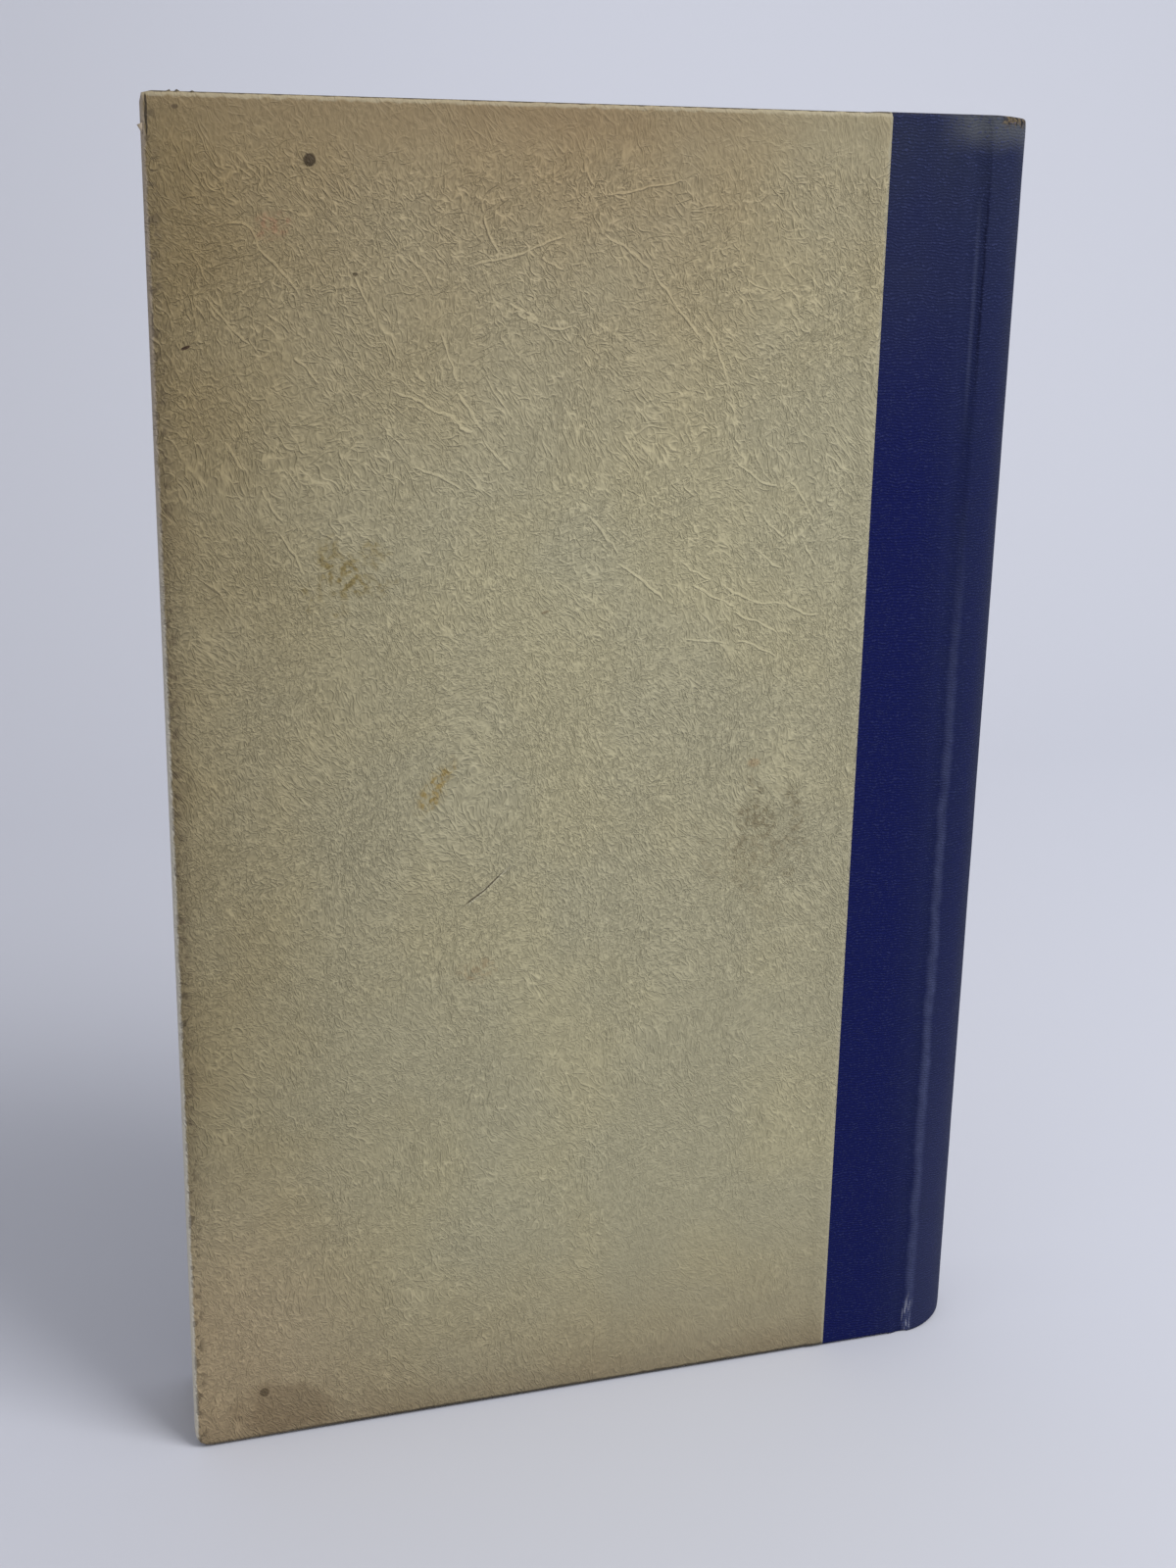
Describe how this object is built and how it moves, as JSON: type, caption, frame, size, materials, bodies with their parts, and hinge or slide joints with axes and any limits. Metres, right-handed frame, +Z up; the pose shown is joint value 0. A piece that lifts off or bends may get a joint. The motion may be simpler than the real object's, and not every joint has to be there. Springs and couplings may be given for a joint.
{
  "type": "hardback book",
  "caption": "Closed quarter-bound hardback book standing on its tail: paper sides, cloth spine, two covers that open on their joints.",
  "frame": {"origin": "middle of the closed book's box in plan, at the height of the surface it stands on", "axes": "+Z up from tail to head, +X towards the spine, -Y out of the back cover, +Y out of the front cover"},
  "size_m": [0.1461, 0.0244, 0.222],
  "materials": {
    "side_paper": "matt, embossed with a wrinkled grain, age-toned and stained",
    "book_cloth": "fine ribbed book cloth, rubbed at the joint and faded at the spine",
    "greyboard": "raw board, only seen where a corner has split",
    "pages": "cut page edges, toned with age",
    "endpaper": "smooth uncoated paper",
    "mull": "open-weave cotton, glued",
    "lining_paper": "plain brown paper",
    "spine_card": "plain card",
    "headband": "woven cotton band"
  },
  "bodies": {
    "text_and_spine": {"text_block": "pages", "back_flyleaf": "endpaper", "front_flyleaf": "endpaper", "spine_mull": "mull", "spine_lining": "lining_paper", "spine_card": "spine_card", "spine_cloth": "book_cloth", "head_band": "headband", "tail_band": "headband"},
    "back_cover": {"back_board": "greyboard", "back_cover_cloth": "book_cloth", "back_side_paper": "side_paper", "back_mull_flange": "mull", "back_pastedown": "endpaper"},
    "front_cover": {"front_board": "greyboard", "front_cover_cloth": "book_cloth", "front_side_paper": "side_paper", "front_mull_flange": "mull", "front_pastedown": "endpaper"}
  },
  "joints": [
    {"name": "back_cover_hinge", "type": "hinge", "parent": "text_and_spine", "child": "back_cover", "pos_m": [0.05955, -0.01225, 0], "axis": [0, 0, 1], "range_deg": [0, 180]},
    {"name": "front_cover_hinge", "type": "hinge", "parent": "text_and_spine", "child": "front_cover", "pos_m": [0.06275, 0.01225, 0], "axis": [0, 0, -1], "range_deg": [0, 180]}
  ]
}
